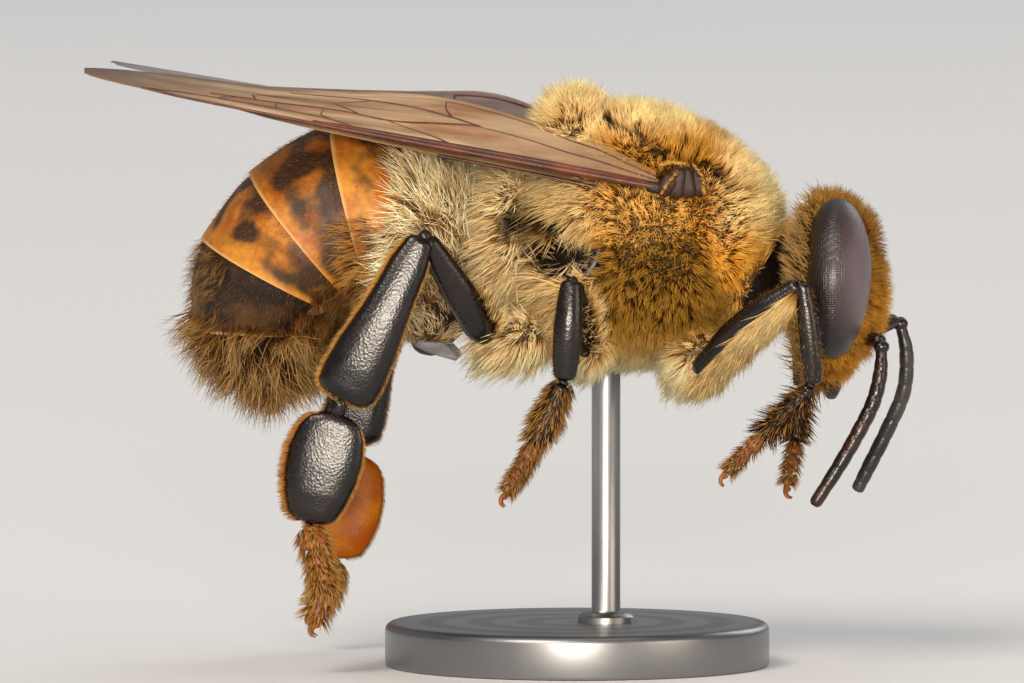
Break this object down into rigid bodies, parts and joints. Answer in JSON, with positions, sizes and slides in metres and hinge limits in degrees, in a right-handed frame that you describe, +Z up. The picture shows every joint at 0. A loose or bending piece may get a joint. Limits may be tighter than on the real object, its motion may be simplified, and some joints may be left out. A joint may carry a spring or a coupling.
{
  "type": "drone honey bee model on a display stand",
  "caption": "Life-size still model of a drone honey bee, furry, wings laid back over a curled abdomen, held on a rod above a round steel base.",
  "frame": {"origin": "centre of the underside of the stand's round base, which rests on the floor", "axes": "+Z up from the floor; +X is the way the bee faces, along its body; +Y is the bee's left side"},
  "size_m": [0.0169, 0.008, 0.0128],
  "materials": {
    "coat": "matte",
    "coat_brown": "matte",
    "shell_amber": "satin",
    "shell_dark": "gloss",
    "eye": "gloss",
    "wing": "satin",
    "foot": "satin",
    "stand": "satin"
  },
  "bodies": {
    "root": {"eye_right": "eye", "forewing_right": "wing", "hindwing_right": "wing", "tegula_right": "shell_dark", "antenna_scape_right": "shell_dark", "antenna_flagellum_right": "shell_dark", "mandible_right": "shell_dark", "leg_front_right_hip": "coat", "leg_front_right_femur": "shell_dark", "leg_front_right_tibia": "shell_dark", "leg_front_right_basitarsus": "foot", "leg_front_right_tarsus": "foot", "leg_middle_right_hip": "coat", "leg_middle_right_femur": "shell_dark", "leg_middle_right_tibia": "shell_dark", "leg_middle_right_basitarsus": "foot", "leg_middle_right_tarsus": "foot", "leg_hind_right_hip": "coat", "leg_hind_right_femur": "shell_dark", "leg_hind_right_tibia": "shell_dark", "leg_hind_right_basitarsus": "shell_dark", "leg_hind_right_tarsus": "foot", "eye_left": "eye", "forewing_left": "wing", "hindwing_left": "wing", "tegula_left": "shell_dark", "antenna_scape_left": "shell_dark", "antenna_flagellum_left": "shell_dark", "mandible_left": "shell_dark", "leg_front_left_hip": "coat", "leg_front_left_femur": "shell_dark", "leg_front_left_tibia": "shell_dark", "leg_front_left_basitarsus": "foot", "leg_front_left_tarsus": "foot", "leg_middle_left_hip": "coat", "leg_middle_left_femur": "shell_dark", "leg_middle_left_tibia": "shell_dark", "leg_middle_left_basitarsus": "foot", "leg_middle_left_tarsus": "foot", "leg_hind_left_hip": "coat", "leg_hind_left_femur": "shell_dark", "leg_hind_left_tibia": "shell_dark", "leg_hind_left_basitarsus": "shell_dark", "leg_hind_left_tarsus": "foot", "thorax": "coat", "scutellum": "coat", "head": "coat", "neck": "shell_dark", "abdomen_1": "coat", "abdomen_2": "shell_amber", "abdomen_3": "shell_amber", "abdomen_4": "shell_amber", "abdomen_5": "coat_brown", "abdomen_6": "coat_brown", "stand_base": "stand", "stand_rod": "stand"}
  },
  "joints": []
}
